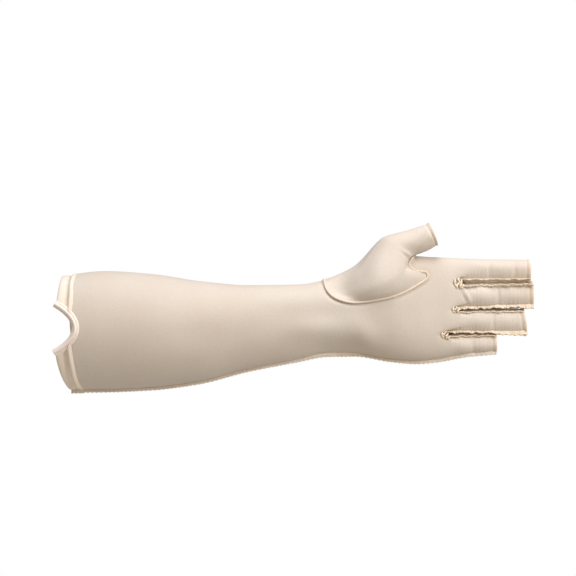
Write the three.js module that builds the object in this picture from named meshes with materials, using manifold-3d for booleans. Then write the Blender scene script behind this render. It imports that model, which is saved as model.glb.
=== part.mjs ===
// Forearm-length compression glove for a left hand, in millimetres.
// The arm runs along +X from the elbow mouth at the origin, the palm faces -Y and the thumb points up, +Z.
import * as THREE from "three";
import { mergeVertices } from "three/addons/utils/BufferGeometryUtils.js";
import Module from "manifold-3d";

const wasm = await Module();
wasm.setup();

// Cloth and clearances
const CLOTH = 1.0;
const GAP = 0.3;

// Elbow edge: mean station, tilt from thumb side to little-finger side, reach on the palm side and on the back,
// and how the palm's reach grows towards the little-finger side
const CUFF = { middle: 5.8, tilt: -3.2, palmReach: 4.6, backReach: 3, palmSkew: 3 };

// Turned hem of the elbow mouth: stations across the band with its height above the cloth, and how much wider
// the band is beside the notch
const HEM_FLARE = 0.15;
const ELBOW_HEM = [
  { across: 0, height: 0.1 },
  { across: 1, height: 0.5 },
  { across: 7, height: 0.5 },
  { across: 8, height: 0.1 },
  { across: 9.4, height: 1.2 },
  { across: 11, height: 0.2 },
];

// Scooped notch in the palm side of the elbow edge, a parabola, and the binding folded over its edge
const NOTCH = { apex: 15, depth: 14.5, height: 3.9, half: 16.4, binding: 3.8, proud: 0.7 };

// Sections of the arm and hand: thumb side, little-finger side, depth to palm and to back, fullness of corners
const ARM = [
  { x: -8, top: 43.2, bottom: -46.2, palm: 37.5, back: 36.5, full: 2 },
  { x: 36, top: 48.8, bottom: -45.7, palm: 41, back: 39, full: 2 },
  { x: 74, top: 46.4, bottom: -44.1, palm: 39.5, back: 37.5, full: 2 },
  { x: 112, top: 40.8, bottom: -39.2, palm: 34.5, back: 33, full: 2.05 },
  { x: 150, top: 37.6, bottom: -29.6, palm: 28, back: 27.5, full: 2.1 },
  { x: 190, top: 38, bottom: -21.8, palm: 22, back: 22, full: 2.15 },
  { x: 214, top: 42.3, bottom: -17.5, palm: 19.5, back: 19.5, full: 2.15 },
  { x: 236, top: 51, bottom: -17.3, palm: 20, back: 17.5, full: 2.2 },
  { x: 264, top: 59.5, bottom: -21.6, palm: 21.5, back: 16, full: 2.35 },
  { x: 285, top: 60.6, bottom: -23.3, palm: 18, back: 15, full: 2.6 },
  { x: 300, top: 59.8, bottom: -22.1, palm: 14.5, back: 13.6, full: 2.8 },
  { x: 332, top: 58.8, bottom: -19, palm: 11, back: 11, full: 3 },
];

// Finger stalls: depth at the forks, then for each its sides at the fork and at the open end, its depth at the end,
// and the stations of the end's two corners
const FORK_DEPTH = 9.2;
const FINGERS = [
  { name: "index", top: [58.4, 57.6], bottom: [42.2, 42.6], depth: 7.8, end: [374.6, 374.9] },
  { name: "middle", top: [35.6, 36.6], bottom: [20.4, 22.4], depth: 7.8, end: [377, 377] },
  { name: "ring", top: [15.6, 16.2], bottom: [1.4, 0.8], depth: 7.4, end: [369.8, 372.2] },
  { name: "little", top: [-4, -3], bottom: [-20, -16], depth: 6.8, end: [348.2, 348.6] },
];

// Finger forks: station, height, width of the seam round each, and the angle that it lies round the finger
// from the finger's side towards the palm
const FORKS = [
  { name: "index_middle_seam", x: 315, z: 38.9, width: 2.4, lean: 0.7 },
  { name: "middle_ring_seam", x: 313.5, z: 18, width: 2.1, lean: 0.55 },
  { name: "ring_little_seam", x: 304.8, z: -1.3, width: 1.8, lean: 0.55 },
];

// Seam tape: tilt towards the palm, lean on a side with no neighbour, ruffles, and their gathers at the forks
const SEAM = { thick: 1.1, tilt: 0.9, lean: 0.3, leanReach: 8, ruffle: 0.35, pitch: 5.2 };
const GATHER = { reach: 0.07, ruffle: 0.5, width: 1.2 };

// Length over which the hand passes into the fingers, before the forks and along each finger's middle
const FORK_ROUND = { before: 6, middle: 24 };

// Curl of the fingers towards the palm
const CURL = { from: 290, reach: 86, drop: 4.5, shift: 1.6 };
const STALL_HEM = { width: 3.2, proud: 0.45, inside: 0.5 };

// Ribs of the thumb gusset, around the thumb from its upper side over the palm and back round the other way:
// the seam on the hand, then the swell of the thumb's base
const GUSSET = [
  { v: 0, seam: [211.2, 41.5], swell: [236, 0, 52.8] },
  { v: 0.06, seam: [212.6, 35], swell: [238, -11, 49] },
  { v: 0.12, seam: [219.5, 27.6], swell: [242, -18.5, 42] },
  { v: 0.18, seam: [235, 23.8], swell: [250, -23.5, 38.5] },
  { v: 0.25, seam: [260, 27.2], swell: [263, -25, 42] },
  { v: 0.31, seam: [283, 36.8], swell: [271, -22.5, 46.5] },
  { v: 0.355, seam: [292.7, 44.6], swell: [274, -20.5, 49.5] },
  { v: 0.37, seam: [291.4, 47.4], swell: [274.4, -19.8, 50.3] },
  { v: 0.4, seam: [284.5, 48.4], swell: [275, -18.5, 52] },
  { v: 0.45, seam: [278, 53.2], swell: [276.5, -13.5, 56] },
  { v: 0.475, seam: [280, 57.2], swell: [279.2, -7.5, 59] },
  { v: 0.5, seam: [284, 60.8], swell: [283.2, -1, 62] },
  { v: 0.6, seam: [266, 55], swell: [268, 10.5, 61] },
  { v: 0.75, seam: [242, 50.4], swell: [250.5, 11.5, 60] },
  { v: 0.88, seam: [224, 44.8], swell: [240, 8, 55.5] },
  { v: 0.95, seam: [214.5, 42], swell: [237, 4, 53.6] },
];

// Sections of the thumb stall: upper side, side next to the index finger, and depth about a middle plane
const THUMB = [
  { upper: [259, 76], web: [283.6, 61.4], y: -5.5, depth: 13.4 },
  { upper: [277.6, 81.2], web: [293.6, 65], y: -7, depth: 10.6 },
  { upper: [294.8, 86.7], web: [301.4, 69.6], y: -8, depth: 9.2 },
];
const THUMB_KNOTS = [0, 0.28, 0.55, 0.8, 1];

const COLOURS = { cloth: "#dfcdb8", gusset: "#e2d0bb", hem: "#e6d3be", binding: "#dbc7b0", seam: "#dcc3a5" };

const clamp = THREE.MathUtils.clamp;
const lerp = THREE.MathUtils.lerp;

// Monotone cubic through the values at the stations: smooth, and never beyond the values on either side
function smooth(stations, values, at) {
  const last = stations.length - 1;
  const rise = (i) => (values[i + 1] - values[i]) / (stations[i + 1] - stations[i]);
  const slope = (i) => {
    if (i === 0) return rise(0);
    if (i === last) return rise(last - 1);
    const before = rise(i - 1);
    const after = rise(i);
    return before * after <= 0 ? 0 : (2 * before * after) / (before + after);
  };
  let i = 0;
  while (i < last - 1 && at > stations[i + 1]) i += 1;
  const span = stations[i + 1] - stations[i];
  const t = clamp((at - stations[i]) / span, 0, 1);
  const near = (1 + 2 * t) * (1 - t) ** 2 * values[i] + t * t * (3 - 2 * t) * values[i + 1];
  return near + span * t * (1 - t) * ((1 - t) * slope(i) - t * slope(i + 1));
}

const ARM_STATIONS = ARM.map((row) => row.x);
const armValue = (column, x) => smooth(ARM_STATIONS, ARM.map((row) => row[column]), x);

// Section of the arm at a station, drawn in by inset
function section(x, inset) {
  const top = armValue("top", x);
  const bottom = armValue("bottom", x);
  return {
    middle: (top + bottom) / 2,
    half: (top - bottom) / 2 - inset,
    palm: armValue("palm", x) - inset,
    back: armValue("back", x) - inset,
    full: armValue("full", x),
  };
}

// Distance of the cloth from the arm's middle plane, at height z
function armDepth(x, z, side, inset) {
  const arm = section(x, inset);
  const t = clamp(Math.abs(z - arm.middle) / arm.half, 0, 1);
  return (side < 0 ? arm.palm : arm.back) * (1 - t ** arm.full) ** (1 / arm.full);
}

const middlePlane = (x) => -CURL.drop * clamp((x - CURL.from) / CURL.reach, 0, 2) ** 2;

function cuffStation(angle, side) {
  const reach = side < 0 ? CUFF.palmReach - CUFF.palmSkew * Math.cos(angle) : CUFF.backReach;
  return CUFF.middle + CUFF.tilt * Math.cos(angle) - reach * Math.sin(angle) ** 2;
}

// Width of the elbow hem's band, as a share of its own
const hemSpread = (angle, side) => {
  return side < 0 ? 1 + HEM_FLARE * THREE.MathUtils.smoothstep(Math.sin(angle), 0.55, 0.9) : 1;
};

// Point of the sleeve: angle runs from the thumb side over the palm, then over the back
function sleevePoint(x, angle, inset) {
  const side = angle <= Math.PI ? -1 : 1;
  const arm = section(x, inset);
  const z = arm.middle + arm.half * Math.cos(angle);
  return [x, side * armDepth(x, z, side, inset), z];
}

// Height of the line between two finger strips: even round the sleeve, and the fork's own at the fork
function boundary(edge, x) {
  const fork = FORKS[edge - 1];
  if (x >= fork.x) return fork.z;
  const arm = section(x, 0);
  const end = section(fork.x, 0);
  const forkAngle = Math.acos((fork.z - end.middle) / end.half);
  const angle = lerp((edge * Math.PI) / 4, forkAngle, THREE.MathUtils.smoothstep(x, 60, fork.x));
  return arm.middle + arm.half * Math.cos(angle);
}

function boundaryAngle(edge, x, inset) {
  if (edge === 0) return 0;
  if (edge === 4) return Math.PI;
  const arm = section(x, inset);
  return Math.acos(clamp((boundary(edge, x) - arm.middle) / arm.half, -1, 1));
}

const forkStation = (edge, inset) => FORKS[clamp(edge, 1, 3) - 1].x - inset;
const strip = (finger, phi, inset) => {
  return lerp(forkStation(finger, inset), forkStation(finger + 1, inset), phi / Math.PI);
};
const endStation = (finger, phi) => lerp(FINGERS[finger].end[0], FINGERS[finger].end[1], phi / Math.PI);

// Side of a finger stall at a station; between two fingers it leaves their line round a half circle
function stallSide(finger, lower, x, inset) {
  const row = FINGERS[finger];
  const edge = finger + lower;
  const inward = lower ? inset : -inset;
  const [near, far] = lower ? row.bottom : row.top;
  const fork = forkStation(edge, 0);
  const own = lerp(near, far, clamp((x - fork) / (row.end[lower] - fork), 0, 1)) + inward;
  if (edge === 0 || edge === 4) return own;
  const line = boundary(edge, x);
  const round = Math.abs(near + inward - FORKS[edge - 1].z);
  const t = clamp((x - fork + inset) / round, 0, 1);
  return lerp(line, own, Math.sqrt(1 - (1 - t) ** 2));
}

const seamLean = (edge) => (edge === 0 || edge === 4 ? SEAM.lean : FORKS[edge - 1].lean);

// Point of the main panel in one finger's strip; phi runs across it, side is -1 for the palm and 1 for the back
function panelPoint(finger, side, x, phi, inset) {
  const row = FINGERS[finger];
  const arm = section(x, inset);
  const share = phi / Math.PI;
  const angle = lerp(boundaryAngle(finger, x, inset), boundaryAngle(finger + 1, x, inset), share);
  const armZ = arm.middle + arm.half * Math.cos(angle);
  const armY = side * armDepth(x, armZ, side, inset);

  const fork = strip(finger, phi, inset);
  const upper = stallSide(finger, 0, x, inset);
  const lower = stallSide(finger, 1, x, inset);
  const along = clamp((x - fork) / (endStation(finger, phi) - fork), 0, 1);
  const depth = lerp(FORK_DEPTH, row.depth, along) - inset;
  const turn = lerp(-side * seamLean(finger), Math.PI + side * seamLean(finger + 1), share);
  const near = turn < Math.PI / 2 ? finger : finger + 1;
  const full = near === 0 || near === 4 ? 1 : Math.cos(seamLean(near));
  const bulge = lerp(1, 1 / full, THREE.MathUtils.smoothstep(x, fork, fork + SEAM.leanReach));
  const stallZ = (upper + lower) / 2 + ((upper - lower) / 2) * clamp(Math.cos(turn) / full, -bulge, bulge);
  const stallY = side * depth * Math.sin(turn) - CURL.shift;

  const outside = (finger === 0 && share < 0.5) || (finger === 3 && share > 0.5);
  const swell = outside ? 1 : Math.sin(phi);
  const start = fork - FORK_ROUND.before;
  const stop = fork + FORK_ROUND.middle * swell;
  const t = clamp((x - start) / (stop - start), 0, 1);
  const blend = lerp(1 - Math.sqrt(1 - t * t), t * t * (3 - 2 * t), swell);
  return [x, middlePlane(x) + lerp(armY, stallY, blend), lerp(armZ, stallZ, blend)];
}

// Triangles of a closed wall between two surfaces of the same parameters.
// A ring closes on itself in v, a strip has side faces, and a sheet is left open there to join its neighbours.
function wall(outer, inner, rows, columns, kind) {
  const points = [];
  const faces = [];
  const width = columns + 1;
  const size = (rows + 1) * width;
  for (const surface of [outer, inner]) {
    for (let i = 0; i <= rows; i += 1) {
      for (let j = 0; j <= columns; j += 1) {
        const v = kind === "ring" && j === columns ? 0 : j / columns;
        points.push(surface(i / rows, v));
      }
    }
  }
  const quad = (a, b, c, d) => faces.push([a, b, c], [a, c, d]);
  for (let i = 0; i < rows; i += 1) {
    for (let j = 0; j < columns; j += 1) {
      const k = i * width + j;
      quad(k, k + 1, k + width + 1, k + width);
      quad(size + k, size + k + width, size + k + width + 1, size + k + 1);
    }
  }
  for (let j = 0; j < columns; j += 1) {
    const end = rows * width + j;
    quad(j, size + j, size + j + 1, j + 1);
    quad(end, end + 1, size + end + 1, size + end);
  }
  for (let i = 0; kind === "strip" && i < rows; i += 1) {
    const near = i * width;
    const far = near + columns;
    quad(near, near + width, size + near + width, size + near);
    quad(far, size + far, size + far + width, far + width);
  }
  return { points, faces };
}

// One solid from walls that share their edges
function solid(walls) {
  const positions = [];
  const index = [];
  let volume = 0;
  for (const { points, faces } of walls) {
    const offset = positions.length / 3;
    for (const face of faces) {
      const [a, b, c] = face.map((k) => new THREE.Vector3(...points[k]));
      volume += a.dot(b.cross(c)) / 6;
      index.push(...face.map((k) => k + offset));
    }
    positions.push(...points.flat());
  }
  const geometry = new THREE.BufferGeometry();
  geometry.setAttribute("position", new THREE.Float32BufferAttribute(positions, 3));
  geometry.setIndex(volume < 0 ? index.reverse() : index);
  return manifold(geometry);
}

function manifold(geometry) {
  geometry.deleteAttribute("normal");
  geometry.deleteAttribute("uv");
  const merged = mergeVertices(geometry, 1e-3);
  const corners = merged.index.array;
  const kept = [];
  for (let k = 0; k < corners.length; k += 3) {
    const [a, b, c] = corners.slice(k, k + 3);
    if (a !== b && b !== c && c !== a) kept.push(a, b, c);
  }
  const mesh = new wasm.Mesh({
    numProp: 3,
    vertProperties: new Float32Array(merged.attributes.position.array),
    triVerts: new Uint32Array(kept),
  });
  return new wasm.Manifold(mesh);
}

// The body itself, without the crumbs that a cut leaves beside it
function whole(body) {
  const bodies = body.decompose();
  return bodies.reduce((best, next) => (next.volume() > best.volume() ? next : best));
}

// Block of an outline, seen from the palm side as X and Z, or from the thumb side as X and Y
function block(outline, depth) {
  const shape = new THREE.Shape(outline.map(([x, y]) => new THREE.Vector2(x, y)));
  return new THREE.ExtrudeGeometry(shape, { depth, bevelEnabled: false });
}
const fromPalm = (outline) => manifold(block(outline, 70).rotateX(Math.PI / 2));
const fromThumb = (outline) => manifold(block(outline, 80).translate(0, 0, 30));

// Thumb gusset: ribs from the seam on the hand, over the swell of the thumb's base, along the stall
const wrapped = [...GUSSET.map((rib) => ({ ...rib, v: rib.v - 1 })), ...GUSSET];
wrapped.push(...GUSSET.map((rib) => ({ ...rib, v: rib.v + 1 })));
const RIBS = wrapped.map((rib) => rib.v);
const ribValue = (pick, v) => smooth(RIBS, wrapped.map(pick), v);

function seamPoint(v) {
  const side = v <= 0.5 ? -1 : 1;
  const x = ribValue((rib) => rib.seam[0], v);
  const z = ribValue((rib) => rib.seam[1], v);
  return [x, side * armDepth(x, z, side, 0), z];
}

function thumbRing({ upper, web, y, depth }, v) {
  const share = (1 + Math.cos(2 * Math.PI * v)) / 2;
  const x = lerp(web[0], upper[0], share);
  return [x, y - depth * Math.sin(2 * Math.PI * v), lerp(web[1], upper[1], share)];
}

function gussetSkin(u, v) {
  const swell = [0, 1, 2].map((axis) => ribValue((rib) => rib.swell[axis], v));
  const rings = [seamPoint(v), swell, ...THUMB.map((row) => thumbRing(row, v))];
  return [0, 1, 2].map((axis) => smooth(THUMB_KNOTS, rings.map((ring) => ring[axis]), u));
}

// Outward direction of a surface whose v runs right-handed about u
function outward(surface, u, v) {
  const step = 0.004;
  const near = Math.max(u - step, 0);
  const far = Math.min(u + step, 1);
  const along = new THREE.Vector3(...surface(far, v)).sub(new THREE.Vector3(...surface(near, v)));
  const before = new THREE.Vector3(...surface(u, (v - step + 1) % 1));
  const around = new THREE.Vector3(...surface(u, (v + step) % 1)).sub(before);
  return around.cross(along).normalize();
}

function gussetPoint(u, v, inset) {
  const normal = outward(gussetSkin, u, v);
  const skin = new THREE.Vector3(...gussetSkin(u, v));
  return skin.addScaledVector(normal, -inset).toArray();
}

// Seam tape that stands off a path: u across it, v along it, with ruffles that grow towards its free edge
function tape(path, across, width, thick, steps, waves, ruffle, kind) {
  const face = (sign) => (u, v) => {
    const away = across(v);
    const along = new THREE.Vector3(...path(Math.min(v + 0.002, 1)));
    along.sub(new THREE.Vector3(...path(Math.max(v - 0.002, 0)))).normalize();
    const normal = new THREE.Vector3().crossVectors(along, away).normalize();
    const wave = ruffle(v) * u * Math.sin(2 * Math.PI * waves * v);
    const point = new THREE.Vector3(...path(v)).addScaledVector(away, u * width(v));
    return point.addScaledVector(normal, wave + (sign * thick) / 2).toArray();
  };
  return solid([wall(face(1), face(-1), 1, steps, kind)]);
}

const parts = new THREE.Group();
parts.name = "compression_glove";

function add(name, body, colour) {
  const mesh = body.getMesh();
  const geometry = new THREE.BufferGeometry();
  geometry.setAttribute("position", new THREE.Float32BufferAttribute(mesh.vertProperties, 3));
  geometry.setIndex([...mesh.triVerts]);
  geometry.computeVertexNormals();
  const material = new THREE.MeshStandardMaterial({ color: colour, roughness: 0.7, name: `${name}_cloth` });
  const part = new THREE.Mesh(geometry, material);
  part.name = name;
  parts.add(part);
}

// Outline of the notch, drawn out by a margin across the cloth
function notchPoint(share, margin) {
  const z = lerp(1, -1, share) * NOTCH.half;
  const slope = (2 * NOTCH.depth * z) / NOTCH.half ** 2;
  const length = Math.hypot(1, slope);
  const x = NOTCH.apex - NOTCH.depth * (z / NOTCH.half) ** 2;
  return [x + margin / length, NOTCH.height + z + (margin * slope) / length];
}

const notchEdge = Array.from({ length: 25 }, (_, k) => notchPoint(k / 24, NOTCH.binding + GAP));
const notchCut = fromPalm([[-30, notchEdge[0][1]], ...notchEdge, [-30, notchEdge[24][1]]]);

// At the gusset's seam: the direction off the hand, and the direction along the hand away from the gusset
const seamFrame = (v) => {
  const [x, , z] = seamPoint(v);
  const side = v <= 0.5 ? -1 : 1;
  const depth = (dx, dz) => armDepth(x + dx, z + dz, side, 0);
  const off = new THREE.Vector3(depth(-0.6, 0) - depth(0.6, 0), side * 1.2, depth(0, -0.6) - depth(0, 0.6));
  off.normalize();
  const before = new THREE.Vector3(...seamPoint((v + 0.994) % 1));
  const along = new THREE.Vector3(...seamPoint((v + 0.006) % 1)).sub(before);
  return { off, away: along.cross(off).normalize() };
};

// Columns of the gusset: each rib and one between
const GUSSET_COLUMNS = 2 * GUSSET.length;
const ribStations = [...GUSSET.map((rib) => rib.v), 1];
const ribAt = (share) => {
  const k = Math.min(Math.floor(share * GUSSET.length), GUSSET.length - 1);
  return lerp(ribStations[k], ribStations[k + 1], share * GUSSET.length - k);
};

// Openings for the gusset in the palm side and in the back of the main panel
const columns = Array.from({ length: GUSSET_COLUMNS + 1 }, (_, k) => ribAt(k / GUSSET_COLUMNS));
const palmOutline = columns.filter((v) => v <= 0.5).map((v) => {
  const [x, , z] = seamPoint(v);
  const [ax, , az] = seamPoint(Math.max(v - 0.003, 0));
  const [bx, , bz] = seamPoint(Math.min(v + 0.003, 0.5));
  const length = Math.hypot(bx - ax, bz - az);
  const away = new THREE.Vector3((bz - az) / length, 0, (ax - bx) / length);
  const margin = GAP + 1.4 * CLOTH * Math.max(-away.dot(seamFrame(v).off), 0);
  return [x + margin * away.x, z + margin * away.z];
});
const backOutline = columns.filter((v) => v >= 0.5).map((v) => {
  const [x, y] = seamPoint(v);
  return [x, y + 1.8 * GAP];
});

// Main panel: two sheets for each finger's strip, from the elbow hem to the stall hem
const HAND_ROWS = 18;
const STALL_ROWS = 7;
const STRIP_COLUMNS = 6;
const hemAcross = ELBOW_HEM[ELBOW_HEM.length - 1].across;

function sheet(finger, side) {
  const surface = (inset) => (u, v) => {
    const phi = Math.PI * (side < 0 ? v : 1 - v);
    const angle = ((finger + phi / Math.PI) * Math.PI) / 4;
    const start = cuffStation(angle, side) + hemAcross * hemSpread(angle, side) + GAP;
    const fork = strip(finger, phi, inset);
    const row = u * (HAND_ROWS + STALL_ROWS);
    const hand = 1 - (1 - clamp(row / HAND_ROWS, 0, 1)) ** 1.3;
    const stall = clamp((row - HAND_ROWS) / STALL_ROWS, 0, 1) ** 2.2;
    const end = endStation(finger, phi) - STALL_HEM.width - GAP;
    const x = stall > 0 ? lerp(fork, end, stall) : lerp(start, fork, hand);
    return panelPoint(finger, side, x, phi, inset);
  };
  return wall(surface(0), surface(CLOTH), HAND_ROWS + STALL_ROWS, STRIP_COLUMNS, "sheet");
}

const sheets = [];
for (let finger = 0; finger < FINGERS.length; finger += 1) {
  sheets.push(sheet(finger, -1), sheet(finger, 1));
}
const [wristX] = seamPoint(0);
const [webX] = seamPoint(0.5);
const palmCut = fromPalm([...palmOutline, [webX + 16, 110], [wristX - 19, 110]]);
const backCut = fromThumb([[webX + GAP, -1], ...backOutline, [wristX - GAP, -1]]);
const hemShare = 1 - 0.02 * STALL_HEM.width;
const clothShare = hemShare - 0.02 * GAP;
const gussetWall = (inset) => (u, share) => gussetPoint(u * clothShare, ribAt(share), inset);
const gusset = solid([wall(gussetWall(0), gussetWall(CLOTH), 11, GUSSET_COLUMNS, "ring")]);
const openPanel = solid(sheets).subtract(palmCut).subtract(backCut).subtract(notchCut);
add("main_panel", whole(openPanel), COLOURS.cloth);
add("thumb_gusset", gusset, COLOURS.gusset);

// Elbow hem: band, groove and stitched ridge round the mouth, open at the notch
const hemStations = ELBOW_HEM.map((row) => row.across);
const hemHeights = ELBOW_HEM.map((row) => row.height);
const hemSurface = (outer) => (u, v) => {
  const angle = 2 * Math.PI * v;
  const side = v <= 0.5 ? -1 : 1;
  const across = hemStations[Math.round(u * (hemStations.length - 1))];
  const height = outer ? smooth(hemStations, hemHeights, across) : -CLOTH - 0.4;
  return sleevePoint(cuffStation(angle, side) + across * hemSpread(angle, side), angle, -height);
};
const elbowHem = solid([wall(hemSurface(true), hemSurface(false), hemStations.length - 1, 40, "ring")]);
add("elbow_hem", elbowHem.subtract(notchCut), COLOURS.hem);

const bindingSurface = (proud) => (u, v) => {
  const [x, z] = notchPoint(v, u * NOTCH.binding);
  return [x, -armDepth(x, z, -1, 0) - proud, z];
};
const bindingWall = wall(bindingSurface(NOTCH.proud), bindingSurface(-CLOTH - NOTCH.proud), 2, 22, "strip");
add("notch_binding", solid([bindingWall]), COLOURS.binding);

// Turned hems of the finger stalls and of the thumb stall
FINGERS.forEach((row, finger) => {
  const surface = (inset, round) => (u, v) => {
    const side = v <= 0.5 ? -1 : 1;
    const phi = 2 * Math.PI * (side < 0 ? v : 1 - v);
    const x = endStation(finger, phi) - STALL_HEM.width * (1 - u);
    return panelPoint(finger, side, x, phi, inset - round * Math.sin(Math.PI * u));
  };
  const hem = wall(surface(0, STALL_HEM.proud), surface(CLOTH + STALL_HEM.inside, 0), 2, 14, "ring");
  add(`${row.name}_hem`, solid([hem]), COLOURS.hem);
});
const thumbHem = (inset, round) => (u, v) => {
  return gussetPoint(lerp(hemShare, 1, u), v, inset - round * Math.sin(Math.PI * u));
};
const thumbWall = wall(thumbHem(0, STALL_HEM.proud), thumbHem(CLOTH + STALL_HEM.inside, 0), 2, 16, "ring");
add("thumb_hem", solid([thumbWall]), COLOURS.hem);

// Overlocked seams: outside round each finger fork, along the little-finger side, and round the gusset
const standOff = GAP + 0.5 * SEAM.thick * Math.sin(SEAM.tilt) + 0.1;
const tilted = (x, z) => {
  const length = Math.hypot(x, z);
  const flat = Math.cos(SEAM.tilt) / length;
  return new THREE.Vector3(x * flat, -Math.sin(SEAM.tilt), z * flat);
};
FORKS.forEach((fork, k) => {
  const path = (v) => {
    const s = 2 * v - 1;
    const finger = s < 0 ? k : k + 1;
    const lower = s < 0 ? 1 : 0;
    const from = fork.x + standOff;
    const x = lerp(from, FINGERS[finger].end[lower] - STALL_HEM.width - GAP, s * s);
    return panelPoint(finger, -1, x, lower * Math.PI, -standOff);
  };
  const across = (v) => {
    const [ax, , az] = path(Math.max(v - 0.004, 0));
    const [bx, , bz] = path(Math.min(v + 0.004, 1));
    return tilted(az - bz, bx - ax);
  };
  const waves = Math.round(110 / SEAM.pitch);
  const gather = (v) => Math.exp(-(((v - 0.5) / GATHER.reach) ** 2));
  const width = (v) => fork.width + GATHER.width * gather(v);
  const ruffle = (v) => SEAM.ruffle + GATHER.ruffle * gather(v);
  const body = tape(path, across, width, SEAM.thick, 3 * waves, waves, ruffle, "strip");
  add(fork.name, body, COLOURS.seam);
});

const ulnarPath = (v) => {
  const from = cuffStation(Math.PI, -1) + hemAcross + GAP;
  const x = lerp(from, FINGERS[3].end[1] - STALL_HEM.width - GAP, v);
  return panelPoint(3, -1, x, Math.PI, -standOff);
};
const ulnar = tape(ulnarPath, () => tilted(0, -1), () => 1.9, SEAM.thick, 64, 32, () => 0.2, "strip");
add("ulnar_seam", ulnar, COLOURS.seam);

const ridgePath = (v) => {
  const { off, away } = seamFrame(v);
  const point = new THREE.Vector3(...seamPoint(v)).addScaledVector(away, 0.5 * SEAM.thick + 0.2);
  return point.addScaledVector(off, GAP + 0.2 + 0.35 * Math.max(-away.x, 0)).toArray();
};
const ridgeLean = (v) => {
  const { off, away } = seamFrame(v);
  return off.addScaledVector(away, 0.3).normalize();
};
const ridgeHeight = (v) => 1.4 - 0.8 * Math.exp(-(((v - 0.5) / 0.03) ** 2));
const ridge = tape(ridgePath, ridgeLean, ridgeHeight, SEAM.thick, 64, 0, () => 0, "ring");
add("gusset_seam", ridge, COLOURS.seam);

export default parts;
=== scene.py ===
import bmesh
import bpy
import numpy as np
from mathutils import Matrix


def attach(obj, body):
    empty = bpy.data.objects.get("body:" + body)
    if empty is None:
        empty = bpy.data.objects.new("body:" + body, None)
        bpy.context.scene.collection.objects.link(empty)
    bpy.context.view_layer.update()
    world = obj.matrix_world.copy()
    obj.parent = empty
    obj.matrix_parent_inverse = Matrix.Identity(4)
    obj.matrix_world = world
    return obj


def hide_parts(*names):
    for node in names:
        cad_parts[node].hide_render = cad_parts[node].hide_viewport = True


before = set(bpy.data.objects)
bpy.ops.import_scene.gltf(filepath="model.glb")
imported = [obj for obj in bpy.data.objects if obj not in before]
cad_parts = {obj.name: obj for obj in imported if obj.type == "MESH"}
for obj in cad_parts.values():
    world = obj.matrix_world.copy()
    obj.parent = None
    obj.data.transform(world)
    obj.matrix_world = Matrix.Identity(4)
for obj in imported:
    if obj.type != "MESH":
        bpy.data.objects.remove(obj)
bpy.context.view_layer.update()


# Main panel: one panel of stretch knit that makes the sleeve, the palm, the back and four finger stalls.
# The knit is nylon over elastane, about a millimetre thick, and lies tight and smooth but for puckers beside
# its seams. It is folded along the thumb side and sewn together along the little-finger side.

# Sizes are in millimetres. A station is a place along the sleeve, and a height one towards the thumb side.
CLOTH = 0.9

# Sections along the sleeve: station, thumb side, little-finger side, depth to palm, depth to back, fullness.
SLEEVE = np.array([
    (-8, 43.2, -46.2, 37.5, 36.5, 2),
    (36, 48.8, -45.7, 41, 39, 2),
    (74, 46.4, -44.1, 39.5, 37.5, 2),
    (112, 40.8, -39.2, 34.5, 33, 2.05),
    (150, 37.6, -29.6, 28, 27.5, 2.1),
    (190, 38, -21.8, 22, 22, 2.15),
    (214, 42.3, -17.5, 19.5, 19.5, 2.15),
    (236, 51, -17.3, 20, 17.5, 2.2),
    (264, 59.5, -21.6, 21.5, 16, 2.35),
    (285, 60.6, -23.3, 18, 15, 2.6),
    (300, 59.8, -22.1, 14.5, 13.6, 2.8),
    (332, 58.8, -19, 11, 11, 3),
])

# Elbow edge: its mean station and tilt, its reach out on the palm, with a tilt of its own, and on the back.
ELBOW_MEAN, ELBOW_TILT = 5.8, 3.2
PALM_REACH, PALM_REACH_TILT, BACK_REACH = 4.6, 3, 3

# The elbow hem covers the panel's start. Its band is wider by a share where the sine of its angle is large.
PANEL_START, HEM_EXTRA, HEM_WIDENS = 10.4, 0.15, (0.55, 0.9)

# Finger stalls, index to little: depth at the forks, then for each its upper and lower seam at the fork and
# at the open end, its depth at the end, and the stations of the end's upper and lower corners. The panel
# stops short of the end, under the stall's hem.
FORK_DEPTH = 9.2
STALLS = [
    dict(name="index", upper=(58.4, 57.6), lower=(42.2, 42.6), depth=7.8, end=(374.6, 374.9)),
    dict(name="middle", upper=(35.6, 36.6), lower=(20.4, 22.4), depth=7.8, end=(377, 377)),
    dict(name="ring", upper=(15.6, 16.2), lower=(1.4, 0.8), depth=7.4, end=(369.8, 372.2)),
    dict(name="little", upper=(-4, -3), lower=(-20, -16), depth=6.8, end=(348.2, 348.6)),
]
UNDER_HEM = 4.6

# Forks between the stalls: station, height, and how far round towards the palm the seam lies, in radians.
FORKS = [(315, 38.9, 0.82), (313.5, 18, 0.76), (304.8, -1.3, 0.78)]

# The outer sides lean by less. The strips turn towards the forks from a station on. The sleeve's section
# eases into a stall over a length beside the fork and a longer one at the stall's middle, and the half circle
# of its seam fades across it by a power.
OUTER_LEAN = 0.3
STRIPS_TURN_FROM = 60
FORK_EASE, STALL_EASE, ROUND_POWER = 6, 24, 6

# The stalls curl towards the palm: start, reach, drop at the reach, and the stalls' own shift to the palm.
CURL_FROM, CURL_REACH, CURL_DROP, CURL_SHIFT = 290, 86, 4.5, 1.6

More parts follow.
